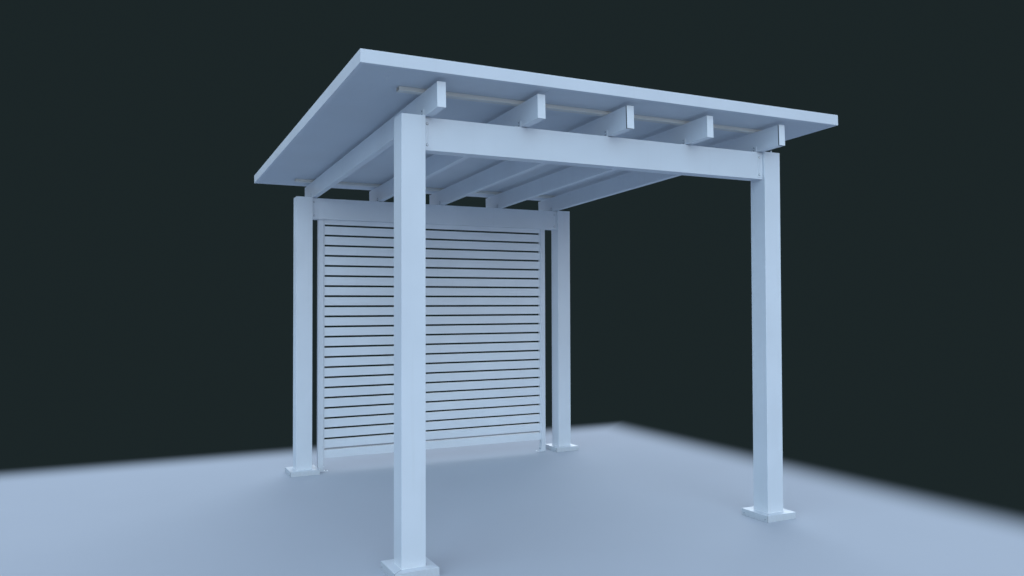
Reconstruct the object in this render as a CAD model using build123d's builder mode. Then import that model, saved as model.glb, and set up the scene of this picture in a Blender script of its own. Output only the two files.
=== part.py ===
from build123d import *
import math
import os

# A lean-to patio pergola in white powder-coated aluminium: four square posts, a beam
# between each pair, five rafters that fall to the rear, two flat purlins on top of them,
# an insulated panel roof in a channel fascia, and a slatted privacy screen at the rear.
# X runs to the right, Y to the rear, Z up. The origin is on the ground, under the middle
# of the roof's outline. Sizes are in millimetres and angles in degrees.

# posts
post_side = 152.4
post_wall = 3.2
tube_corner = 2.0
span_x = 3020.0
span_y = 3354.0
front_height = 2770.0
cap_thickness = 5.0
cap_chamfer = 1.6

# base plates, and the covers that hide them: each cover is two halves, mitred on a diagonal
plate_side = 222.0
plate_thickness = 9.5
plate_hole_radius = 7.5
plate_hole_spacing = 184.0
cover_side = 278.0
cover_height = 47.0
cover_gauge = 2.0
cover_edge = 1.0
cover_seam = 0.8
cover_fit = 0.8

# beams, set between the posts
beam_depth = 203.2
beam_thickness = 101.6
beam_wall = 3.2
angle_leg_beam = 44.5
angle_leg_post = 22.0
angle_gauge = 3.2
angle_height = 178.0
angle_toe = 1.0

# rafters
roof_pitch = 1.9
rafter_count = 5
rafter_width = 50.8
rafter_depth = 152.4
rafter_wall = 2.5
rafter_tail_front = 209.0
rafter_tail_rear = 209.0
end_cap_thickness = 3.0
end_cap_margin = 2.0
end_cap_chamfer = 0.8
plug_depth = 15.0
plug_gauge = 1.5
plug_fit = 0.3
loose_cap_gap = 5.0
first_loose_cap = 3
clip_leg = 44.5
clip_gauge = 3.2
clip_length = 50.8
clip_setback = 4.0

# purlins, laid flat across the rafters
purlin_width = 50.8
purlin_height = 25.4
purlin_wall = 1.6

# roof panels and fascia
overhang_left = 331.0
overhang_right = 307.0
overhang_front = 285.0
overhang_rear = 276.0
panel_cover_width = 1219.2
panel_seam_chamfer = 2.0
fascia_height = 78.0
fascia_gauge = 1.6
fascia_lip = 25.0
fascia_bend = 2.4
tongue_depth = 12.0
tongue_height = 24.0
tongue_fit = 0.5

# slatted screen under the rear beam, its slats held at their ends in channels on the stiles
stile_side = 50.8
stile_wall = 2.0
screen_gap_left = 67.0
screen_gap_right = 138.0
slat_height = 80.0
slat_gap = 19.4
slat_thickness = 25.4
slat_wall = 1.5
least_cut_slat = 15.0
screen_ground_gap = 129.2
track_lip = 12.7
track_gauge = 1.6
track_fit = 0.3
slat_end_gap = 0.8
foot_leg = 50.8
foot_gauge = 6.4

# places that follow from the sizes above
roof_width = overhang_left + span_x + overhang_right
roof_run = overhang_front + span_y + overhang_rear
left_x = -roof_width / 2 + overhang_left
right_x = left_x + span_x
front_y = -roof_run / 2 + overhang_front
rear_y = front_y + span_y
inner_left_x = left_x + post_side
inner_right_x = right_x - post_side
clear_x = inner_right_x - inner_left_x

pitch = math.radians(roof_pitch)
beam_setback = (post_side - beam_thickness) / 2
front_beam_rear_y = front_y + beam_setback + beam_thickness
rear_beam_rear_y = rear_y - beam_setback

# The rafters rest on the rounded rear top edge of each beam, so their underside passes this
# far below the place where the beam's sharp edge would be.
seat_drop = tube_corner * (math.sin(pitch) + math.cos(pitch) - 1) / math.cos(pitch)
seat_origin = (0, front_beam_rear_y, front_height - seat_drop)


def seat_height(y):
    """Height of the rafters' underside."""
    return seat_origin[2] - (y - front_beam_rear_y) * math.tan(pitch)


rear_height = seat_height(rear_beam_rear_y) + seat_drop

post_places = {
    "front_left": (left_x + post_side / 2, front_y + post_side / 2, front_height),
    "front_right": (right_x - post_side / 2, front_y + post_side / 2, front_height),
    "rear_left": (left_x + post_side / 2, rear_y - post_side / 2, rear_height),
    "rear_right": (right_x - post_side / 2, rear_y - post_side / 2, rear_height),
}

# The sloping section plane: its X is the object's X, its Y is square to the roof, and its
# Z points up the slope, to the front.
slope_plane = Plane(
    origin=seat_origin,
    x_dir=(1, 0, 0),
    z_dir=(0, -math.cos(pitch), math.sin(pitch)),
)


def up_slope(y, rise=0):
    """Distance up the slope to y, for a point this high above the rafters' underside."""
    return (front_beam_rear_y + rise * math.sin(pitch) - y) / math.cos(pitch)


os.makedirs("parts", exist_ok=True)


def save(piece, name):
    piece.part.label = name
    export_step(piece.part, "parts/" + name + ".step")


def rounded_tube(width, height, wall):
    """A hollow rectangular section with rounded corners, drawn about the current location."""
    RectangleRounded(width, height, tube_corner)
    Rectangle(width - 2 * wall, height - 2 * wall, mode=Mode.SUBTRACT)


def angle_section(corner, leg_x, leg_y, gauge):
    """An angle's section, its outer corner given and its legs running the way of their signs."""
    x, y = corner
    gauge_x = math.copysign(gauge, leg_x)
    gauge_y = math.copysign(gauge, leg_y)
    with BuildLine() as outline:
        FilletPolyline(
            (x, y),
            (x + leg_x, y),
            (x + leg_x, y + gauge_y),
            (x + gauge_x, y + gauge_y),
            (x + gauge_x, y + leg_y),
            (x, y + leg_y),
            radius=(0, 0, angle_toe, 0, angle_toe, 0),
            close=True,
        )
    make_face(outline.edges())


def make_posts():
    for place, (x, y, height) in post_places.items():
        with BuildPart() as post:
            with BuildSketch(Plane.XY.offset(plate_thickness)):
                with Locations((x, y)):
                    rounded_tube(post_side, post_side, post_wall)
            extrude(amount=height - plate_thickness)
        save(post, "post_" + place)

        with BuildPart() as cap:
            with BuildSketch(Plane.XY.offset(height)):
                with Locations((x, y)):
                    RectangleRounded(post_side, post_side, tube_corner)
            extrude(amount=cap_thickness)
            chamfer(cap.faces().sort_by(Axis.Z)[-1].edges(), cap_chamfer)
        save(cap, "post_cap_" + place)


def make_base_plates():
    with BuildPart() as plates:
        for x, y, height in post_places.values():
            with BuildSketch():
                with Locations((x, y)):
                    Rectangle(plate_side, plate_side)
                    with GridLocations(plate_hole_spacing, plate_hole_spacing, 2, 2):
                        Circle(plate_hole_radius, mode=Mode.SUBTRACT)
            extrude(amount=plate_thickness)
    save(plates, "base_plates")


def make_base_covers():
    opening = post_side + 2 * cover_fit
    inside = cover_side - 2 * cover_gauge
    for place, (x, y, height) in post_places.items():
        with BuildPart() as cover:
            with BuildSketch():
                with Locations((x, y)):
                    Rectangle(cover_side, cover_side)
            extrude(amount=cover_height)
            chamfer(cover.faces().sort_by(Axis.Z)[-1].edges(), cover_edge)
            with BuildSketch():
                with Locations((x, y)):
                    Rectangle(inside, inside)
            extrude(amount=cover_height - cover_gauge, mode=Mode.SUBTRACT)
            with BuildSketch():
                with Locations((x, y)):
                    Rectangle(opening, opening)
                    Rectangle(2 * cover_side, cover_seam, rotation=45)
            extrude(amount=cover_height, mode=Mode.SUBTRACT)
        save(cover, "base_cover_" + place)


def make_beam(name, rear_face_y, top_z):
    centre_y = rear_face_y - beam_thickness / 2
    centre_z = top_z - beam_depth / 2
    with BuildPart() as beam:
        with BuildSketch(Plane.YZ.offset(inner_left_x)):
            with Locations((centre_y, centre_z)):
                rounded_tube(beam_thickness, beam_depth, beam_wall)
        extrude(amount=clear_x)
    save(beam, name + "_beam")

    with BuildPart() as angles:
        with BuildSketch(Plane.XY.offset(centre_z - angle_height / 2)):
            for end_x, inward in ((inner_left_x, 1), (inner_right_x, -1)):
                for face_y, outward in ((rear_face_y - beam_thickness, -1), (rear_face_y, 1)):
                    angle_section(
                        (end_x, face_y), inward * angle_leg_beam, outward * angle_leg_post, angle_gauge
                    )
        extrude(amount=angle_height)
    save(angles, name + "_beam_angles")


rafter_pitch_x = (clear_x - rafter_width) / (rafter_count - 1)
rafter_xs = [inner_left_x + rafter_width / 2 + i * rafter_pitch_x for i in range(rafter_count)]
rafter_front = up_slope(front_y - rafter_tail_front)
rafter_rear = up_slope(rear_y + rafter_tail_rear)


def front_cap_gap(number):
    """The last front caps aren't driven home, and stand off the rafters' ends."""
    return loose_cap_gap if number >= first_loose_cap else 0.0


def make_rafters():
    for number, x in enumerate(rafter_xs, 1):
        rear_end = rafter_rear + end_cap_thickness
        front_end = rafter_front - end_cap_thickness - front_cap_gap(number)
        with BuildPart() as rafter:
            with BuildSketch(slope_plane.offset(rear_end)):
                with Locations((x, rafter_depth / 2)):
                    rounded_tube(rafter_width, rafter_depth, rafter_wall)
            extrude(amount=front_end - rear_end)
        save(rafter, "rafter_" + str(number))


def make_rafter_end_caps(name, outer_end, inward):
    """Flat caps over the rafters' ends, each with a hollow plug that fits inside the tube."""
    inner_end = outer_end + inward * end_cap_thickness
    plug_width = rafter_width - 2 * (rafter_wall + plug_fit)
    plug_height = rafter_depth - 2 * (rafter_wall + plug_fit)
    places = [(x, rafter_depth / 2) for x in rafter_xs]
    with BuildPart() as caps:
        with BuildSketch(slope_plane.offset(outer_end)):
            with Locations(places):
                RectangleRounded(rafter_width + 2 * end_cap_margin, rafter_depth, tube_corner)
        extrude(amount=inward * end_cap_thickness)
        outward = Axis(slope_plane.origin, -inward * slope_plane.z_dir)
        outer_faces = caps.faces().filter_by(outward).group_by(outward)[-1]
        chamfer(outer_faces.edges(), end_cap_chamfer)
        with BuildSketch(slope_plane.offset(inner_end)):
            with Locations(places):
                Rectangle(plug_width, plug_height)
                Rectangle(plug_width - 2 * plug_gauge, plug_height - 2 * plug_gauge, mode=Mode.SUBTRACT)
        extrude(amount=inward * plug_depth)
    save(caps, "rafter_end_caps_" + name)


def make_clips(name, beam_rear_y, top_z):
    """Angle clips that stand on a beam, or on the post's cap, against each rafter's left side."""
    front = beam_rear_y - beam_thickness + clip_setback
    with BuildPart() as clips:
        for x in rafter_xs:
            side = x - rafter_width / 2
            foot = top_z
            if side - clip_leg < inner_left_x:
                foot = top_z + cap_thickness
            with BuildSketch(Plane.XZ.offset(-front)):
                angle_section((side, foot), -clip_leg, clip_leg, clip_gauge)
            extrude(amount=-clip_length)
    save(clips, "rafter_clips_" + name)


def make_purlins():
    for name, y in (("front", front_y + post_side / 2), ("rear", rear_y - post_side / 2)):
        rise = rafter_depth + purlin_height / 2
        centre = slope_plane.from_local_coords((0, rise, up_slope(y, rise)))
        with BuildPart() as purlin:
            with BuildSketch(Plane.YZ.offset(left_x)):
                with Locations(Location((centre.Y, centre.Z), -roof_pitch)):
                    rounded_tube(purlin_width, purlin_height, purlin_wall)
            extrude(amount=span_x)
        save(purlin, "purlin_" + name)


panel_bottom = rafter_depth + purlin_height
panel_thickness = fascia_height - 2 * fascia_gauge
fascia_bottom = panel_bottom - fascia_gauge
roof_left_x = -roof_width / 2
roof_right_x = roof_width / 2
roof_front = up_slope(-roof_run / 2, fascia_bottom)
roof_rear = up_slope(roof_run / 2, fascia_bottom + fascia_height)


def make_roof_panels():
    """Panels that lock together with a tongue and a groove, their edges chamfered at the seam."""
    left = roof_left_x + fascia_gauge
    right = roof_right_x - fascia_gauge
    middle = panel_bottom + panel_thickness / 2
    panel_total = math.ceil((right - left) / panel_cover_width)
    notch = panel_seam_chamfer * math.sqrt(2)
    for number in range(panel_total):
        start = left + number * panel_cover_width
        end = min(start + panel_cover_width, right)
        with BuildPart() as panel:
            with BuildSketch(slope_plane.offset(roof_rear + fascia_gauge)):
                with Locations(((start + end) / 2, middle)):
                    Rectangle(end - start, panel_thickness)
                if number > 0:
                    with Locations((start, middle)):
                        Rectangle(
                            2 * (tongue_depth + tongue_fit), tongue_height + 2 * tongue_fit,
                            mode=Mode.SUBTRACT,
                        )
                    with Locations((start, panel_bottom), (start, panel_bottom + panel_thickness)):
                        Rectangle(notch, notch, rotation=45, mode=Mode.SUBTRACT)
                if end < right:
                    with Locations((end, panel_bottom), (end, panel_bottom + panel_thickness)):
                        Rectangle(notch, notch, rotation=45, mode=Mode.SUBTRACT)
                    with Locations((end + tongue_depth / 2, middle)):
                        Rectangle(tongue_depth, tongue_height)
            extrude(amount=roof_front - roof_rear - 2 * fascia_gauge)
        save(panel, "roof_panel_" + str(number + 1))


def make_fascia():
    """Four channels round the panels' edges, mitred where they meet."""
    corner = slope_plane.from_local_coords
    edges = {
        "front": ((roof_left_x, fascia_bottom, roof_front), (roof_right_x, fascia_bottom, roof_front)),
        "right": ((roof_right_x, fascia_bottom, roof_front), (roof_right_x, fascia_bottom, roof_rear)),
        "rear": ((roof_right_x, fascia_bottom, roof_rear), (roof_left_x, fascia_bottom, roof_rear)),
        "left": ((roof_left_x, fascia_bottom, roof_rear), (roof_left_x, fascia_bottom, roof_front)),
    }
    up = slope_plane.y_dir
    for name, (start, end) in edges.items():
        start_point = corner(start)
        end_point = corner(end)
        run = (end_point - start_point).normalized()
        inward = up.cross(run)
        edge_plane = Plane(origin=start_point, x_dir=inward, z_dir=run)
        # the section plane's Y has to point up, square to the roof
        flip = 1 if edge_plane.y_dir.dot(up) > 0 else -1
        with BuildPart() as channel:
            with BuildSketch(edge_plane):
                with BuildLine():
                    FilletPolyline(
                        (0, 0),
                        (fascia_lip, 0),
                        (fascia_lip, flip * fascia_gauge),
                        (fascia_gauge, flip * fascia_gauge),
                        (fascia_gauge, flip * (fascia_height - fascia_gauge)),
                        (fascia_lip, flip * (fascia_height - fascia_gauge)),
                        (fascia_lip, flip * fascia_height),
                        (0, flip * fascia_height),
                        radius=(fascia_bend, 0, 0, 0, 0, 0, 0, fascia_bend),
                        close=True,
                    )
                make_face()
            extrude(amount=(end_point - start_point).length)
            split(bisect_by=Plane(origin=start_point, z_dir=run - inward), keep=Keep.TOP)
            split(bisect_by=Plane(origin=end_point, z_dir=run + inward), keep=Keep.BOTTOM)
        save(channel, "fascia_" + name)


screen_y = rear_y - post_side / 2
screen_top = rear_height - beam_depth
stile_left_x = inner_left_x + screen_gap_left
stile_right_x = inner_right_x - screen_gap_right
stile_xs = {"left": stile_left_x + stile_side / 2, "right": stile_right_x - stile_side / 2}

# the stiles' inner faces, each with the way along X that it looks
stile_faces = ((stile_left_x + stile_side, 1), (stile_right_x - stile_side, -1))


def make_stiles():
    for name, x in stile_xs.items():
        with BuildPart() as stile:
            with BuildSketch():
                with Locations((x, screen_y)):
                    rounded_tube(stile_side, stile_side, stile_wall)
            extrude(amount=screen_top)
        save(stile, "screen_stile_" + name)


def make_screen_tracks():
    """Channels on the stiles' inner faces, open towards each other, which take the slats' ends."""
    hollow = slat_thickness + 2 * track_fit
    with BuildPart() as tracks:
        with BuildSketch(Plane.XY.offset(screen_ground_gap)):
            for face_x, inward in stile_faces:
                with Locations((face_x + inward * track_lip / 2, screen_y)):
                    Rectangle(track_lip, hollow + 2 * track_gauge)
                with Locations((face_x + inward * (track_lip + track_gauge) / 2, screen_y)):
                    Rectangle(track_lip - track_gauge, hollow, mode=Mode.SUBTRACT)
        extrude(amount=screen_top - screen_ground_gap)
    save(tracks, "screen_tracks")


def make_screen_feet():
    """Heavy angles at the stiles' inner faces, which hold them to the ground."""
    with BuildPart() as feet:
        with BuildSketch(Plane.XZ.offset(stile_side / 2 - screen_y)):
            for face_x, inward in stile_faces:
                angle_section((face_x, 0), inward * foot_leg, foot_leg, foot_gauge)
        extrude(amount=-stile_side)
    save(feet, "screen_feet")


def make_slats():
    slat_start, slat_end = (
        face_x + inward * (track_gauge + slat_end_gap) for face_x, inward in stile_faces
    )
    slat_pitch = slat_height + slat_gap
    slat_total = math.ceil((screen_top - least_cut_slat - screen_ground_gap) / slat_pitch)
    with BuildPart() as slats:
        with BuildSketch(Plane.YZ.offset(slat_start)):
            for number in range(slat_total):
                low = screen_ground_gap + number * slat_pitch
                high = min(low + slat_height, screen_top)
                with Locations((screen_y, (low + high) / 2)):
                    Rectangle(slat_thickness, high - low)
                    Rectangle(
                        slat_thickness - 2 * slat_wall, high - low - 2 * slat_wall, mode=Mode.SUBTRACT
                    )
        extrude(amount=slat_end - slat_start)
    save(slats, "screen_slats")


make_posts()
make_base_plates()
make_base_covers()
make_beam("front", front_beam_rear_y, front_height)
make_beam("rear", rear_beam_rear_y, rear_height)
make_rafters()
make_rafter_end_caps("front", rafter_front, -1)
make_rafter_end_caps("rear", rafter_rear, 1)
make_clips("front", front_beam_rear_y, front_height)
make_clips("rear", rear_beam_rear_y, rear_height)
make_purlins()
make_roof_panels()
make_fascia()
make_stiles()
make_screen_tracks()
make_screen_feet()
make_slats()
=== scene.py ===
"""The looks of the patio pergola: its paint, the screws and the sealant, and a plain studio round it.

Lengths are in metres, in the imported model's frame: X runs to the right, Y to the rear, Z up.
"""

import math
import random

import bmesh
import bpy
from mathutils import Matrix, Vector


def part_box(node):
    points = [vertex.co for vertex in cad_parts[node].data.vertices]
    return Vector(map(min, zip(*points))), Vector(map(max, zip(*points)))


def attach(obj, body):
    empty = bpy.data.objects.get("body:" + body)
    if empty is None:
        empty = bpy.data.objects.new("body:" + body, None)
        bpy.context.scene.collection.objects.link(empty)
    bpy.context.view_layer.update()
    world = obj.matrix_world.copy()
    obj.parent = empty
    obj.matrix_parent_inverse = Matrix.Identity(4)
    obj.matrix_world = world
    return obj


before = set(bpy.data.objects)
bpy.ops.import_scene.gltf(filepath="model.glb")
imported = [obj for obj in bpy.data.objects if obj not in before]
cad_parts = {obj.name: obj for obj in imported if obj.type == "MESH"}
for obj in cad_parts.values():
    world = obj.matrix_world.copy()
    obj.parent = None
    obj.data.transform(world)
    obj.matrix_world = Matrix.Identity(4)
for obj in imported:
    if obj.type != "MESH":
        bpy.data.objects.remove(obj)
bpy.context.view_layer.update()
rng = random.Random(7)

# The camera stands where the photograph was taken from. Its angles are in degrees, its lens in mm.
CAMERA_PLACE = (-3.0082, -6.2789, 1.6149)
CAMERA_YAW = 25.986
CAMERA_PITCH = 1.237
CAMERA_ROLL = -0.171
CAMERA_LENS = 28.212
CAMERA_SENSOR = 36

# Sizes of the model that its boxes don't give.
ROOF_PITCH = math.radians(1.9)
FASCIA_HEIGHT = 0.078
FASCIA_LIP = 0.025
FASCIA_GAUGE = 0.0016
ANGLE_GAUGE = 0.0032
ANGLE_LEG_POST = 0.022
CLIP_GAUGE = 0.0032
PANEL_COVER_WIDTH = 1.2192
FOOT_GAUGE = 0.0064
TRACK_LIP = 0.0127
SLAT_HEIGHT = 0.080
SLAT_PITCH = 0.0994
CAP_THICKNESS = 0.003
POSTS = ("front_left", "front_right", "rear_left", "rear_right")
RAFTERS = range(1, 6)

UP = Vector((0, 0, 1))
DOWN_SLOPE = Vector((0, math.cos(ROOF_PITCH), -math.sin(ROOF_PITCH)))
ACROSS_SEAM = Vector((1, -1, 0)).normalized()

# Screw heads and washers. A hex head is measured across its flats and stands on a round flange.
SMALL_HEX = {"across": 0.0079, "height": 0.0046, "flange": 0.0058}
BEAM_HEX = {"across": 0.0095, "height": 0.0056, "flange": 0.0064}
PANEL_HEX = {"across": 0.0095, "height": 0.0056, "flange": 0.0095}
FOOT_HEX = {"across": 0.010, "height": 0.0062, "flange": 0.0075}
CAP_HEX = {"across": 0.010, "height": 0.012, "flange": 0.0075}
COVER_PAN = {"radius": 0.0042, "height": 0.0026}
SLAT_PAN = {"radius": 0.0038, "height": 0.0026}
FASCIA_PAN = {"radius": 0.0045, "height": 0.0004}
BEAM_WASHER = {"radius": 0.0080, "top_radius": 0.0070, "edge": 0.0012, "thickness": 0.0016}
PANEL_WASHER = {"radius": 0.0125, "top_radius": 0.010, "edge": 0.0016, "thickness": 0.0028}
SCREW_SEGMENTS = 24

# The sealant's beads, by their radius.
FOOT_BEAD = 0.0032
LIP_BEAD = 0.0020
SEAM_BEAD = 0.0040
UPPER_MITRE_BEAD = 0.0010
LOWER_MITRE_BEAD = 0.0012
BEAD_SIDES = 8

# How far the painted shade on a rafter's front end reaches, and how strong it is. It stands for the shadow
# in the joint under its cap. The fourth has none.
END_GAP_SHADE = {1: (0.001, 0.6), 2: (0.002, 0.75), 3: (0.007, 0.95), 5: (0.005, 0.9)}

# Colours, as linear values. The whites' slight blue cast is painted light, the cool light of shade under
# an open sky.
WHITE_PAINT = (0.76, 0.795, 0.84)
ROOF_PAINT = (0.69, 0.72, 0.76)
FASCIA_PAINT = (0.71, 0.745, 0.795)
CAP_PAINT = (0.83, 0.865, 0.905)
COVER_PAINT = (0.69, 0.74, 0.80)
SLAT_PAINT = (0.82, 0.855, 0.90)
# The purlins' warm tint is painted light, reflected from warm surroundings.
WARM_LIGHT_TINT = (0.78, 0.755, 0.70)
SCREW_PAINT = (0.74, 0.77, 0.81)
SEALANT_WHITE = (0.80, 0.82, 0.84)
RUBBER_GREY = (0.055, 0.057, 0.06)
ZINC_GREY = (0.34, 0.38, 0.43)
# The tone of dust, also used for painted shade on upright faces.
DUST_AND_SHADE = (0.50, 0.47, 0.42)
# A dark tone for dirt, also used for painted shade in joints and gaps.
DIRT_AND_SHADE = (0.045, 0.047, 0.05)
BACKDROP = (0.0115, 0.0190, 0.0205)
FLOOR = (0.47, 0.50, 0.55)
FLOOR_BOUNCE = (0.23, 0.27, 0.33)
DOME_LOW = (0.12, 0.12, 0.125)
DOME_HIGH = (0.60, 0.73, 0.93)

# The floor is a disc. It fades into the backdrop's tone along Y behind the object, and along X
# right of it.
FLOOR_RADIUS = 60
FADE_BEHIND = (2.35, 3.25)
FADE_BESIDE = (2.45, 3.4)

# The stretch of a noise that is the same along all axes.
EVEN = (1, 1, 1)


# Shader nodes


def feed(tree, socket, value):
    """Links another node's output to a socket, or sets a plain value on it."""
    if isinstance(value, bpy.types.NodeSocket):
        tree.links.new(value, socket)
    else:
        socket.default_value = value


def add(tree, kind, settings=None, **inputs):
    """Adds a shader node. An input is a plain value, or another node's output to link."""
    node = tree.nodes.new("ShaderNode" + kind)
    for key, value in (settings or {}).items():
        setattr(node, key, value)
    for key, value in inputs.items():
        feed(tree, node.inputs[key.replace("_", " ")], value)
    return node


def add_in_order(tree, kind, settings, *values):
    """Adds a node and feeds its inputs in their order, because some of them share a name."""
    node = add(tree, kind, settings)
    for socket, value in zip(node.inputs, values):
        feed(tree, socket, value)
    return node


def calculate(tree, operation, *values):
    """A Math node's result."""
    return add_in_order(tree, "Math", {"operation": operation}, *values).outputs[0]


def mix_colour(tree, factor, first, second):
    """A colour between two, each a plain colour or an output."""
    node = add(tree, "Mix", {"data_type": "RGBA"})
    feed(tree, node.inputs[0], factor)
    for index, value in ((6, first), (7, second)):
        feed(tree, node.inputs[index], (*value, 1) if isinstance(value, tuple) else value)
    return node.outputs[2]


def mix_shaders(tree, factor, first, second):
    return add_in_order(tree, "MixShader", None, factor, first, second).outputs[0]


def map_range(tree, value, low, high, out_low, out_high, smooth=False):
    """One number stretched from one range to another."""
    kind = "SMOOTHSTEP" if smooth else "LINEAR"
    ends = (low, high, out_low, out_high)
    return add_in_order(tree, "MapRange", {"interpolation_type": kind}, value, *ends).outputs["Result"]


def stretched_noise(tree, point, stretch, scale, detail, roughness=0.5):
    """Noise in the object's own space, drawn out along an axis by a small number in stretch."""
    moved = add(tree, "Mapping", Vector=point, Scale=stretch).outputs["Vector"]
    noise = add(tree, "TexNoise", Vector=moved, Scale=scale, Detail=detail, Roughness=roughness)
    return noise.outputs["Fac"]


def object_point(tree):
    """The shaded point in the object's own space, which is the model's frame."""
    return add(tree, "TexCoord").outputs["Object"]


def scaled(colour, share):
    return tuple(c * share for c in colour)


# Materials


def empty_material(name):
    material = bpy.data.materials.new(name)
    material.use_nodes = True
    material.node_tree.nodes.clear()
    return material, material.node_tree


def with_low_dust(tree, point, tone, strength, top):
    """Patchy dust, which thins out from the ground up to a height."""
    height = add(tree, "SeparateXYZ", Vector=point).outputs["Z"]
    low_down = map_range(tree, height, 0.0, top, strength, 0, smooth=True)
    speckle = stretched_noise(tree, point, (1, 1, 0.4), scale=60, detail=4, roughness=0.7)
    patchy = calculate(tree, "MULTIPLY", low_down, map_range(tree, speckle, 0.35, 0.7, 0.3, 1))
    return mix_colour(tree, patchy, tone, DUST_AND_SHADE)


def with_dirt_and_shade_band(tree, point, tone, way, middle, half, soft, strength):
    """A band of dirt and painted shade across one direction.

    Its middle is measured along that direction, half is half its width, soft is how far its
    edge fades, and strength is how much of the paint's tone it replaces.
    """
    reach = add_in_order(tree, "VectorMath", {"operation": "DOT_PRODUCT"}, point, way).outputs["Value"]
    distance = calculate(tree, "ABSOLUTE", calculate(tree, "SUBTRACT", reach, middle))
    amount = map_range(tree, distance, half, half + soft, strength, 0, smooth=True)
    return mix_colour(tree, amount, tone, DIRT_AND_SHADE)


def with_painted_face_shade(tree, tone, upright_face_shade, level_face_shade):
    """Painted shade by a face's slope: faces that look up or down get the dark tone, or else upright faces
    get the dust's tone.
    """
    normal = add(tree, "NewGeometry").outputs["Normal"]
    lift = add(tree, "SeparateXYZ", Vector=normal).outputs["Z"]
    level = calculate(tree, "ABSOLUTE", lift)
    amount = map_range(tree, level, 0.6, 0.95, upright_face_shade, level_face_shade)
    return mix_colour(tree, amount, tone, DIRT_AND_SHADE if level_face_shade > 0 else DUST_AND_SHADE)


def powder_coat(
    name, colour, roughness=0.36, streaks=0.05, dust=0.0, dust_height=0.3, clear_coat=0.15,
    dirt_and_shade_bands=(), level_face_shade=0.0, upright_face_shade=0.0,
):
    """White powder coat on aluminium: orange peel, a faint cloudiness, rain marks, dust, and dirt and
    painted shade.
    """
    material, tree = empty_material(name)
    point = object_point(tree)
    clouds = stretched_noise(tree, point, EVEN, scale=2.3, detail=3)
    marks = stretched_noise(tree, point, (1, 1, 0.06), scale=22, detail=3, roughness=0.6)
    peel = stretched_noise(tree, point, EVEN, scale=420, detail=2)
    waves = stretched_noise(tree, point, EVEN, scale=9, detail=1)

    cloudy = map_range(tree, clouds, 0.35, 0.65, 0, 1)
    tone = mix_colour(tree, cloudy, scaled(colour, 0.955), colour)
    rain = map_range(tree, marks, 0.56, 0.75, 0, streaks, smooth=True)
    tone = mix_colour(tree, rain, tone, scaled(DUST_AND_SHADE, 0.8))
    if dust > 0:
        tone = with_low_dust(tree, point, tone, dust, dust_height)
    for mark in dirt_and_shade_bands:
        tone = with_dirt_and_shade_band(tree, point, tone, **mark)
    if level_face_shade > 0 or upright_face_shade > 0:
        tone = with_painted_face_shade(tree, tone, upright_face_shade, level_face_shade)

    gloss = map_range(tree, clouds, 0.3, 0.7, roughness - 0.05, roughness + 0.06)
    wavy = add(tree, "Bump", Strength=0.25, Distance=0.0006, Height=waves).outputs["Normal"]
    relief = add(tree, "Bump", Strength=0.18, Distance=0.0002, Height=peel, Normal=wavy)
    shader = add(
        tree, "BsdfPrincipled", Base_Color=tone, Roughness=gloss, Normal=relief.outputs["Normal"],
        IOR=1.5, Coat_Weight=clear_coat, Coat_Roughness=0.12,
    )
    add(tree, "OutputMaterial", Surface=shader.outputs["BSDF"])
    return material


def plain_finish(name, colour, roughness, metallic=0.0, grain=900, spread=0.1):
    """A small part's finish: one colour with fine grain in its tone, gloss and surface."""
    material, tree = empty_material(name)
    speckle = stretched_noise(tree, object_point(tree), EVEN, scale=grain, detail=3, roughness=0.6)
    light = tuple(min(1.0, c) for c in scaled(colour, 1 + spread))
    grainy = map_range(tree, speckle, 0.3, 0.7, 0, 1)
    tone = mix_colour(tree, grainy, scaled(colour, 1 - spread), light)
    gloss = map_range(tree, speckle, 0.3, 0.7, roughness - 0.06, roughness + 0.06)
    relief = add(tree, "Bump", Strength=0.3, Distance=0.0002, Height=speckle)
    shader = add(
        tree, "BsdfPrincipled", Base_Color=tone, Roughness=gloss, Normal=relief.outputs["Normal"],
        Metallic=metallic,
    )
    add(tree, "OutputMaterial", Surface=shader.outputs["BSDF"])
    return material


# Making pieces


def piece(name, bm, material):
    """Makes a mesh piece of the object, which rides on the one body."""
    bmesh.ops.recalc_face_normals(bm, faces=bm.faces)
    mesh = bpy.data.meshes.new(name)
    bm.to_mesh(mesh)
    bm.free()
    for polygon in mesh.polygons:
        polygon.use_smooth = True
    mesh.materials.append(material)
    made = bpy.data.objects.new(name, mesh)
    bpy.context.scene.collection.objects.link(made)
    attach(made, "root")


def standing_on(place, direction, spin=0.0):
    """Axes at place whose Z points in direction, turned by spin about it."""
    turn = Vector(direction).normalized().to_track_quat("Z", "Y").to_matrix().to_4x4()
    return Matrix.Translation(place) @ turn @ Matrix.Rotation(spin, 4, "Z")


def any_turn():
    """A driven screw stops at any angle."""
    return rng.uniform(0, math.pi)


def spaced(first, last, count):
    """Evenly spaced values from first to last."""
    return [first + (last - first) * i / (count - 1) for i in range(count)]


def skin(bm, rings):
    """Joins a stack of rings of vertices, all with as many, and closes both ends."""
    for lower, upper in zip(rings, rings[1:]):
        for i in range(len(lower)):
            j = (i + 1) % len(lower)
            bm.faces.new((lower[i], lower[j], upper[j], upper[i]))
    bm.faces.new(list(reversed(rings[0])))
    bm.faces.new(rings[-1])


def round_ring(radius):
    return lambda angle: radius


def hex_ring(half_across):
    """A hexagon's edge, by half its distance across the flats."""
    sixth = math.pi / 3
    return lambda angle: half_across / math.cos((angle % sixth) - sixth / 2)


def cross_ring(outer, inner):
    """A cross-shaped recess."""
    return lambda angle: inner + (outer - inner) * abs(math.cos(2 * angle)) ** 3


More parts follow.
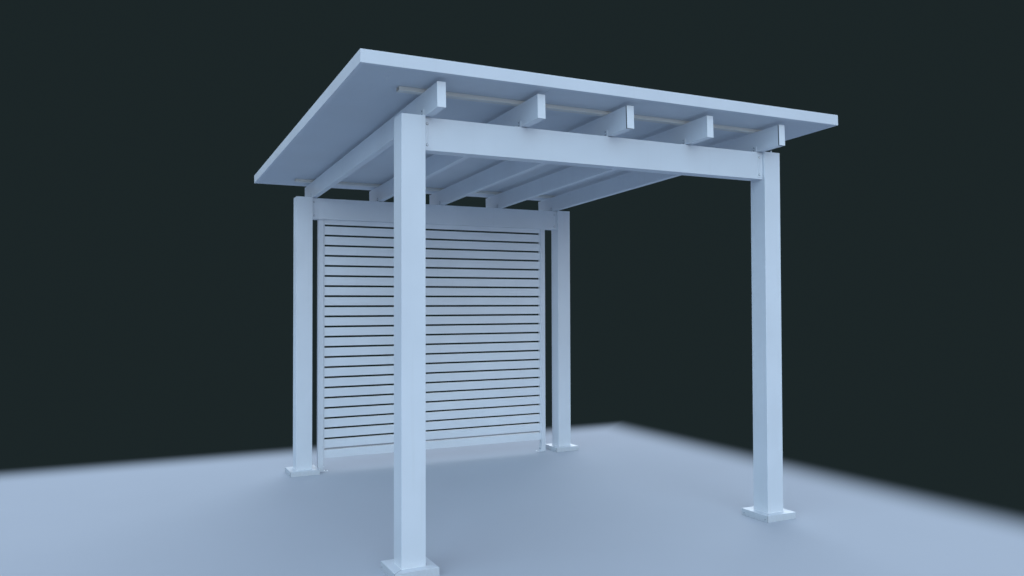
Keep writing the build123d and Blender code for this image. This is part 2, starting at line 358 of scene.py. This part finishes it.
def lumpy_ring(radius, lumps, depth, turn=0.0):
    """A round edge with a few soft lumps."""
    return lambda angle: radius * (1 + depth * math.sin(lumps * angle + turn))


def turned(bm, axes, shapes):
    """A closed form made of level rings, each given by its radius at any angle and its height."""
    rings = []
    for radius_at, height in shapes:
        ring = []
        for i in range(SCREW_SEGMENTS):
            angle = 2 * math.pi * i / SCREW_SEGMENTS
            radius = radius_at(angle)
            point = Vector((radius * math.cos(angle), radius * math.sin(angle), height))
            ring.append(bm.verts.new(axes @ point))
        rings.append(ring)
    skin(bm, rings)


def hex_screw(bm, place, direction, across, height, flange):
    """A hex washer head screw, driven down to the surface, with a chamfer and a dish on top."""
    half = across / 2
    sunk = 0.0004
    flange_edge, flange_top, hex_foot = 0.0007, 0.0011, 0.0012
    chamfer = 0.0006
    shoulder = height - chamfer
    flange_crown = flange * 0.9
    top, dish_rim, dish_floor = half * 0.97, half * 0.55, half * 0.45
    shapes = [
        (round_ring(flange), -sunk),
        (round_ring(flange), flange_edge),
        (round_ring(flange_crown), flange_top),
        (hex_ring(half), hex_foot),
        (hex_ring(half), shoulder),
        (round_ring(top), height),
        (round_ring(dish_rim), height),
        (round_ring(dish_floor), shoulder),
    ]
    turned(bm, standing_on(place, direction, any_turn()), shapes)


def pan_screw(bm, place, direction, radius, height):
    """A pan head screw with a cross recess, both in shares of its radius and height."""
    sunk = 0.0003
    dome = ((1, 0.35), (0.9, 0.72), (0.68, 0.96))
    recess = ((0.56, 0.18, 1), (0.42, 0.12, 0.35))
    shapes = [(round_ring(radius), -sunk)]
    for width, rise in dome:
        shapes.append((round_ring(radius * width), height * rise))
    for outer, inner, rise in recess:
        shapes.append((cross_ring(radius * outer, radius * inner), height * rise))
    turned(bm, standing_on(place, direction, any_turn()), shapes)


def washer(bm, place, direction, radius, top_radius, edge, thickness):
    """A rubber washer with a bevelled upper rim."""
    sunk = 0.0003
    shapes = [
        (round_ring(radius), -sunk),
        (round_ring(radius), edge),
        (round_ring(top_radius), thickness),
    ]
    turned(bm, standing_on(place, direction), shapes)


def upright_rib(bm, x, face_y, outward, low_z, high_z):
    """A low pressed rib that runs up a face which looks to the front or the rear."""
    sunk_foot, crest = (0.0036, 0.0, -0.0003), (0.0017, 0.004, 0.0012)
    rings = []
    for half_width, inset, rise in (sunk_foot, crest):
        foot, head = low_z + inset, high_z - inset
        left, right = x - half_width, x + half_width
        corners = ((left, foot), (right, foot), (right, head), (left, head))
        y = face_y + outward * rise
        rings.append([bm.verts.new((corner_x, y, z)) for corner_x, z in corners])
    skin(bm, rings)


def bead(bm, points, radius, closed=False, step=0.03):
    """A bead of sealant along straight runs, a little uneven, as a tube half sunk in the joint."""
    thinnest, thickest, tip = 0.82, 1.15, 0.4
    stations = []
    ends = points[1:] + points[:1] if closed else points[1:]
    for start, end in zip(points, ends):
        start, end = Vector(start), Vector(end)
        count = max(1, round((end - start).length / step))
        stations += [start.lerp(end, i / count) for i in range(count)]
    if not closed:
        stations.append(Vector(points[-1]))

    rings = []
    total = len(stations)
    for i, centre in enumerate(stations):
        before = stations[i - 1] if closed or i > 0 else centre
        after = stations[(i + 1) % total] if closed or i < total - 1 else centre
        axes = standing_on(centre, after - before)
        size = radius * rng.uniform(thinnest, thickest)
        if not closed and i in (0, total - 1):
            size *= tip
        angles = [2 * math.pi * k / BEAD_SIDES for k in range(BEAD_SIDES)]
        rings.append(
            [bm.verts.new(axes @ Vector((size * math.cos(a), size * math.sin(a), 0))) for a in angles]
        )

    pairs = list(zip(rings, rings[1:]))
    if closed:
        pairs.append((rings[-1], rings[0]))
    for first, second in pairs:
        # The ring's start may turn at a corner, so the nearest vertex is matched.
        shift = min(range(BEAD_SIDES), key=lambda k: (second[k].co - first[0].co).length)
        matched = second[shift:] + second[:shift]
        for i in range(BEAD_SIDES):
            j = (i + 1) % BEAD_SIDES
            bm.faces.new((first[i], first[j], matched[j], matched[i]))
    if not closed:
        bm.faces.new(list(reversed(rings[0])))
        bm.faces.new(rings[-1])


def dab(bm, place, direction, radius):
    """A small lump of sealant, narrower one way. Its size also sets how its lumps are turned."""
    sunk, rim, top = 0.0004, 0.0006, 0.0022
    narrowing, crown_share, turn_per_metre = 0.75, 0.6, 900
    axes = standing_on(place, direction) @ Matrix.Diagonal((1.0, narrowing, 1.0, 1.0))
    outline = lumpy_ring(radius, lumps=3, depth=0.18, turn=turn_per_metre * radius)
    crown = lumpy_ring(crown_share * radius, lumps=2, depth=0.1)
    turned(bm, axes, [(outline, -sunk), (outline, rim), (crown, top)])


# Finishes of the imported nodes, which keep their shape


def front_end(node):
    """How far down the roof's slope the front end of a node lies."""
    return min(DOWN_SLOPE.dot(vertex.co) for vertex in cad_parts[node].data.vertices)


def repaint(node, material):
    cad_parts[node].material_slots[0].material = material


# A dark band round the posts' feet, just above their covers: dirt in the joint, and painted shade for the
# gap between post and cover.
cover_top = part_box("base_cover_front_left")[1].z
foot_dirt_and_shade = dict(way=UP, middle=cover_top, half=0.0005, soft=0.004, strength=0.75)
paint_of_slot = {
    "frame": powder_coat(
        "frame_powder_coat", WHITE_PAINT, dust=0.16, dust_height=0.22, dirt_and_shade_bands=[foot_dirt_and_shade]
    ),
    "trim": powder_coat("trim_powder_coat", WHITE_PAINT, roughness=0.33),
    "brackets": powder_coat("bracket_powder_coat", WHITE_PAINT, roughness=0.4),
    "roof_panels": powder_coat(
        "roof_panel_paint", ROOF_PAINT, roughness=0.55, streaks=0.03, clear_coat=0.0
    ),
    "fascia": powder_coat("fascia_paint", FASCIA_PAINT, roughness=0.38, streaks=0.07),
    "screen": powder_coat("screen_powder_coat", WHITE_PAINT, dust=0.12),
}
for cad_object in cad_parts.values():
    for material_slot in cad_object.material_slots:
        material_slot.material = paint_of_slot[material_slot.material.name.split(".")[0]]

# Rafters: painted shade on the tube's front end, for the shadow in the joint between the tube and its cap.
for number in RAFTERS:
    node = "rafter_%d" % number
    marks = []
    if number in END_GAP_SHADE:
        reach, strength = END_GAP_SHADE[number]
        marks.append(
            dict(way=DOWN_SLOPE, middle=front_end(node), half=reach, soft=0.003, strength=strength)
        )
    repaint(node, powder_coat(node + "_powder_coat", WHITE_PAINT, dirt_and_shade_bands=marks))

# The front end caps: their plugs, behind the face, are darkened as painted shade, for the shadow in the
# gap.
plug_half = 0.01
plug_middle = front_end("rafter_end_caps_front") + CAP_THICKNESS + plug_half
plug_shade = dict(way=DOWN_SLOPE, middle=plug_middle, half=plug_half, soft=0.0003, strength=0.96)
repaint(
    "rafter_end_caps_front",
    powder_coat("front_cap_powder_coat", CAP_PAINT, roughness=0.33, dirt_and_shade_bands=[plug_shade]),
)

# Base covers: dusty, with painted shade on their upright faces and a painted shade line along the joint
# between their halves.
for post in POSTS:
    node = "base_cover_" + post
    low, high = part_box(node)
    joint_middle = ACROSS_SEAM.dot((low + high) / 2)
    seam_shade = dict(way=ACROSS_SEAM, middle=joint_middle, half=0.0008, soft=0.0012, strength=0.7)
    repaint(
        node,
        powder_coat(
            node + "_powder_coat", COVER_PAINT, roughness=0.33, dust=0.3, dust_height=0.09,
            upright_face_shade=0.14, dirt_and_shade_bands=[seam_shade],
        ),
    )

# The purlins' warm tint is painted light: warm light reflected onto them.
for side in ("front", "rear"):
    repaint("purlin_" + side, powder_coat("purlin_%s_finish" % side, WARM_LIGHT_TINT, roughness=0.4))
# The slats' faces that look up and down are darkened: painted shade in the narrow gaps between the slats.
repaint("screen_slats", powder_coat("slat_powder_coat", SLAT_PAINT, dust=0.12, level_face_shade=0.75))


# Finishes of the added pieces

paint_screws = plain_finish("painted_screw_heads", SCREW_PAINT, 0.34, spread=0.06)
sealant = plain_finish("white_sealant", SEALANT_WHITE, 0.3, grain=160, spread=0.04)
rubber = plain_finish("rubber_washers", RUBBER_GREY, 0.7)
zinc = plain_finish("zinc_plated_steel", ZINC_GREY, 0.32, metallic=0.9)


# The frame's screws and sealant


def fasten_beam_angles():
    """Each beam leg has two screws on rubber washers and a low rib between them, and each post leg
    has two screws. On the beams they stand nearer to the corner at the left ends.
    """
    from_corner_left, from_corner_right = 0.0185, 0.032
    screw_heights = (-0.069, 0.062)
    rib_inward, rib_low, rib_high = 0.0045, -0.058, 0.038
    from_post_edge = 0.009
    in_beams, in_posts, washers, ribs = bmesh.new(), bmesh.new(), bmesh.new(), bmesh.new()
    for node in ("front_beam_angles", "rear_beam_angles"):
        low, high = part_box(node)
        middle = (low.z + high.z) / 2
        for end_x, inward, from_corner in (
            (low.x, 1, from_corner_left),
            (high.x, -1, from_corner_right),
        ):
            screw_x = end_x + inward * from_corner
            post_face = end_x + inward * ANGLE_GAUGE
            for edge_y, outward in ((low.y, -1), (high.y, 1)):
                facing = (0, outward, 0)
                face_y = edge_y - outward * (ANGLE_LEG_POST - ANGLE_GAUGE)
                head_y = face_y + outward * BEAM_WASHER["thickness"]
                leg_y = edge_y - outward * from_post_edge
                for height in screw_heights:
                    z = middle + height
                    washer(washers, (screw_x, face_y, z), facing, **BEAM_WASHER)
                    hex_screw(in_beams, (screw_x, head_y, z), facing, **BEAM_HEX)
                    hex_screw(in_posts, (post_face, leg_y, z), (inward, 0, 0), **SMALL_HEX)
                rib_x = screw_x + inward * rib_inward
                upright_rib(ribs, rib_x, face_y, outward, middle + rib_low, middle + rib_high)
    piece("beam_angle_screws", in_beams, paint_screws)
    piece("beam_angle_washers", washers, rubber)
    piece("beam_angle_ribs", ribs, paint_of_slot["brackets"])
    piece("post_angle_screws", in_posts, paint_screws)


def fasten_rafter_clips():
    """Two screws one above the other into the rafter, and one down into what carries it."""
    up_the_leg, along_the_foot = (0.32, 0.80), 0.6
    bm = bmesh.new()
    for clips, beam, cap in (
        ("rafter_clips_front", "front_beam", "post_cap_front_left"),
        ("rafter_clips_rear", "rear_beam", "post_cap_rear_left"),
    ):
        low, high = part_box(clips)
        y = (low.y + high.y) / 2
        leg = high.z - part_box(cap)[1].z
        for number in RAFTERS:
            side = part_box("rafter_%d" % number)[0].x
            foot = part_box(cap if number == 1 else beam)[1].z
            for share in up_the_leg:
                place = (side - CLIP_GAUGE, y, foot + leg * share)
                hex_screw(bm, place, (-1, 0, 0), **SMALL_HEX)
            on_foot = (side - leg * along_the_foot, y, foot + CLIP_GAUGE)
            hex_screw(bm, on_foot, UP, **SMALL_HEX)
    piece("rafter_clip_screws", bm, zinc)


def fasten_base_covers():
    """Small screws low on the covers' left and right faces."""
    from_corner, height = 0.027, 0.017
    bm = bmesh.new()
    for post in POSTS:
        low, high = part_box("base_cover_" + post)
        for face_x, outward in ((low.x, -1), (high.x, 1)):
            for y in (low.y + from_corner, high.y - from_corner):
                pan_screw(bm, (face_x, y, height), (outward, 0, 0), **COVER_PAN)
    piece("base_cover_screws", bm, zinc)


def seal_post_feet():
    """A thin bead of sealant closes the gap between each post and its cover."""
    bm = bmesh.new()
    for post in POSTS:
        low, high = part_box("post_" + post)
        corners = ((low.x, low.y), (high.x, low.y), (high.x, high.y), (low.x, high.y))
        bead(bm, [(x, y, cover_top) for x, y in corners], FOOT_BEAD, closed=True, step=0.02)
    piece("post_foot_sealant", bm, sealant)


def bolt_screen_feet():
    """A bolt through each foot's upright leg into the stile, and one down into the ground."""
    up_the_leg, along_the_foot = 0.6, 0.65
    bm = bmesh.new()
    low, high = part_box("screen_feet")
    y = (low.y + high.y) / 2
    for face_x, inward in ((low.x, 1), (high.x, -1)):
        on_leg = (face_x + inward * FOOT_GAUGE, y, high.z * up_the_leg)
        on_foot = (face_x + inward * high.z * along_the_foot, y, FOOT_GAUGE)
        hex_screw(bm, on_leg, (inward, 0, 0), **FOOT_HEX)
        hex_screw(bm, on_foot, UP, **FOOT_HEX)
    piece("screen_foot_bolts", bm, zinc)


def fasten_slats():
    """Each slat is screwed to the channels at its ends, from the rear."""
    shortest = 0.02
    bm = bmesh.new()
    low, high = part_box("screen_tracks")
    slats_low, slats_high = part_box("screen_slats")
    from_end = TRACK_LIP * 0.6
    bottom = slats_low.z
    while bottom + shortest < slats_high.z:
        z = (bottom + min(bottom + SLAT_HEIGHT, slats_high.z)) / 2
        for x in (low.x + from_end, high.x - from_end):
            pan_screw(bm, (x, high.y, z), (0, 1, 0), **SLAT_PAN)
        bottom += SLAT_PITCH
    piece("slat_screws", bm, paint_screws)


def fasten_front_right_cap():
    """The front right post's cap has one screw near its front edge."""
    from_edge = 0.010
    bm = bmesh.new()
    low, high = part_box("post_cap_front_right")
    place = ((low.x + high.x) / 2, low.y + from_edge, high.z)
    hex_screw(bm, place, UP, **CAP_HEX)
    piece("post_cap_screw", bm, paint_screws)


# The roof's screws and sealant, placed by the roof's own left edge, slope and rise

low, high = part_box("fascia_front")
roof_left, roof_right = low.x, high.x
roof_front = Vector((0, low.y, high.z - FASCIA_HEIGHT * math.cos(ROOF_PITCH)))
roof_run = (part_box("fascia_left")[1].y - roof_front.y) / math.cos(ROOF_PITCH)
roof_turn = Matrix.Rotation(-ROOF_PITCH, 3, "X")
roof_up = roof_turn @ UP
panel_top = FASCIA_HEIGHT - FASCIA_GAUGE


def on_roof(x, run, rise):
    """A point this far down the slope from the front edge, and above the fascia's lower edge."""
    return Vector((x, 0, 0)) + roof_front + roof_turn @ Vector((0, run, rise))


def fasten_panels():
    """Panel screws with rubber washers stand in rows over the purlins."""
    from_end, count = 0.05, 13
    heads, washers = bmesh.new(), bmesh.new()
    for purlin in ("purlin_front", "purlin_rear"):
        low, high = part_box(purlin)
        run = ((low.y + high.y) / 2 - roof_front.y) / math.cos(ROOF_PITCH)
        for x in spaced(low.x + from_end, high.x - from_end, count):
            place = on_roof(x, run, panel_top)
            washer(washers, place, roof_up, **PANEL_WASHER)
            hex_screw(heads, place + roof_up * PANEL_WASHER["thickness"], roof_up, **PANEL_HEX)
    piece("panel_screw_washers", washers, rubber)
    piece("panel_screws", heads, paint_screws)


def fasten_fascia():
    """The fascia's upper lip is held down by flat screws, which stand a little proud of it."""
    from_edge = FASCIA_LIP * 0.6
    from_corner = 0.12
    count_across, count_along = 9, 10
    places = []
    for x in spaced(roof_left + from_corner, roof_right - from_corner, count_across):
        places += [(x, from_edge), (x, roof_run - from_edge)]
    # The rows along the side edges leave out their first and last places, near the corners.
    for run in spaced(from_corner, roof_run - from_corner, count_along)[1:-1]:
        places += [(roof_left + from_edge, run), (roof_right - from_edge, run)]
    bm = bmesh.new()
    for x, run in places:
        pan_screw(bm, on_roof(x, run, FASCIA_HEIGHT), roof_up, **FASCIA_PAN)
    piece("fascia_screws", bm, paint_screws)


def seal_roof_joints():
    """Sealant round the inside of the upper lip, over the panel seams and along the mitres."""
    past_lip, seam_depth = 0.001, 0.0024
    upper_start, lower_start, upper_sunk, mitre_step = 0.008, 0.003, 0.0009, 0.006
    bm = bmesh.new()
    inner = FASCIA_LIP + past_lip
    left, right = roof_left + inner, roof_right - inner
    front, rear = inner, roof_run - inner
    corners = ((left, front), (right, front), (right, rear), (left, rear))
    bead(bm, [on_roof(x, run, panel_top) for x, run in corners], LIP_BEAD, closed=True)

    # The seams' beads lie lower than the others, in the panels' chamfers.
    seam_rise = panel_top - seam_depth
    for number in (1, 2):
        x = roof_left + FASCIA_GAUGE + number * PANEL_COVER_WIDTH
        bead(bm, [on_roof(x, front, seam_rise), on_roof(x, rear, seam_rise)], SEAM_BEAD)

    # At each mitre a bead runs in from near the corner to the lip's edge, above and below.
    for x, inward in ((roof_left, 1), (roof_right, -1)):
        for run, along in ((0.0, 1), (roof_run, -1)):
            for start, rise, radius in (
                (upper_start, FASCIA_HEIGHT - upper_sunk, UPPER_MITRE_BEAD),
                (lower_start, 0.0, LOWER_MITRE_BEAD),
            ):
                mitre = [
                    on_roof(x + inward * inset, run + along * inset, rise)
                    for inset in (start, FASCIA_LIP)
                ]
                bead(bm, mitre, radius, step=mitre_step)
    piece("roof_sealant", bm, sealant)


def dab_underside():
    """A few dabs of sealant are left on the underside, near the front left corner."""
    bm = bmesh.new()
    for across, run, radius in (
        (0.209, 0.111, 0.0055),
        (0.195, 0.189, 0.0045),
        (0.228, 0.248, 0.0075),
        (0.226, 0.190, 0.003),
        (0.283, 0.337, 0.004),
    ):
        dab(bm, on_roof(roof_left + across, run, FASCIA_GAUGE), -roof_up, radius)
    piece("sealant_dabs", bm, sealant)


# The pieces keep this order, because they share one row of random draws.
fasten_beam_angles()
fasten_rafter_clips()
fasten_base_covers()
seal_post_feet()
bolt_screen_feet()
fasten_slats()
fasten_front_right_cap()
fasten_panels()
fasten_fascia()
seal_roof_joints()
dab_underside()


# Studio


def far_lamp(name, toward, strength, spread, colour):
    """A broad lamp so far away that it lights near and far pieces alike, from the way it is given."""
    data = bpy.data.lights.new(name, "SUN")
    data.energy = strength
    data.angle = math.radians(spread)
    data.color = colour
    lamp = bpy.data.objects.new(name, data)
    lamp.rotation_euler = Vector(toward).to_track_quat("Z", "Y").to_euler()
    bpy.context.scene.collection.objects.link(lamp)


def studio_dome():
    """The dome is bright overhead and dim near the floor, and the camera sees a dark backdrop."""
    world = bpy.data.worlds.new("studio")
    bpy.context.scene.world = world
    world.use_nodes = True
    tree = world.node_tree
    tree.nodes.clear()
    direction = add(tree, "TexCoord").outputs["Generated"]
    height = add(tree, "SeparateXYZ", Vector=direction).outputs["Z"]
    dim_below, bright_above = 0.05, 0.8
    overhead = map_range(tree, height, dim_below, bright_above, 0, 1, smooth=True)
    dome = mix_colour(tree, overhead, DOME_LOW, DOME_HIGH)
    lit = add(tree, "Background", Color=dome, Strength=1.0).outputs[0]
    seen = add(tree, "Background", Color=(*BACKDROP, 1), Strength=1.0).outputs[0]
    to_camera = add(tree, "LightPath").outputs["Is Camera Ray"]
    add(tree, "OutputWorld", Surface=mix_shaders(tree, to_camera, lit, seen))


def floor_finish():
    """Pale and matte. It bounces less light than it shows, and fades into the backdrop's tone."""
    material, tree = empty_material("studio_floor")
    point = object_point(tree)
    place = add(tree, "SeparateXYZ", Vector=point)
    behind = map_range(tree, place.outputs["Y"], *FADE_BEHIND, 0, 1, smooth=True)
    beside = map_range(tree, place.outputs["X"], *FADE_BESIDE, 0, 1, smooth=True)
    fade = calculate(tree, "MAXIMUM", behind, beside)
    clouds = stretched_noise(tree, point, EVEN, scale=1.4, detail=4)
    cloudy = map_range(tree, clouds, 0.3, 0.7, 0, 1)
    tone = mix_colour(tree, cloudy, scaled(FLOOR, 0.985), FLOOR)
    to_camera = add(tree, "LightPath").outputs["Is Camera Ray"]
    seen = mix_colour(tree, to_camera, FLOOR_BOUNCE, tone)
    matte = add(tree, "BsdfPrincipled", Base_Color=seen, Roughness=0.8).outputs["BSDF"]
    far = add(tree, "Emission", Color=(*BACKDROP, 1), Strength=1.0).outputs[0]
    faded = calculate(tree, "MULTIPLY", fade, to_camera)
    add(tree, "OutputMaterial", Surface=mix_shaders(tree, faded, matte, far))
    return material


def studio_floor():
    bm = bmesh.new()
    bmesh.ops.create_circle(bm, cap_ends=True, segments=96, radius=FLOOR_RADIUS)
    mesh = bpy.data.meshes.new("floor")
    bm.to_mesh(mesh)
    bm.free()
    mesh.materials.append(floor_finish())
    floor = bpy.data.objects.new("floor", mesh)
    bpy.context.scene.collection.objects.link(floor)


def photo_camera():
    data = bpy.data.cameras.new("camera")
    data.sensor_width = CAMERA_SENSOR
    data.lens = CAMERA_LENS
    camera = bpy.data.objects.new("camera", data)
    camera.matrix_world = (
        Matrix.Translation(CAMERA_PLACE)
        @ Matrix.Rotation(-math.radians(CAMERA_YAW), 4, "Z")
        @ Matrix.Rotation(math.radians(90 + CAMERA_PITCH), 4, "X")
        @ Matrix.Rotation(math.radians(CAMERA_ROLL), 4, "Z")
    )
    bpy.context.scene.collection.objects.link(camera)
    bpy.context.scene.camera = camera


far_lamp("front_low_lamp", toward=(-0.15, -1.0, 0.08), strength=0.72, spread=30, colour=(0.88, 0.85, 0.79))
far_lamp("front_lamp", toward=(-0.15, -1.0, 0.40), strength=0.87, spread=42, colour=(0.45, 0.73, 1.0))
far_lamp("left_lamp", toward=(-1.0, -0.35, 0.42), strength=1.12, spread=55, colour=(0.54, 0.79, 1.0))
far_lamp("rear_lamp", toward=(0.6, 1.0, 0.6), strength=0.95, spread=45, colour=(0.76, 0.88, 1.0))
studio_dome()
studio_floor()
photo_camera()
bpy.context.scene.view_settings.view_transform = "Standard"
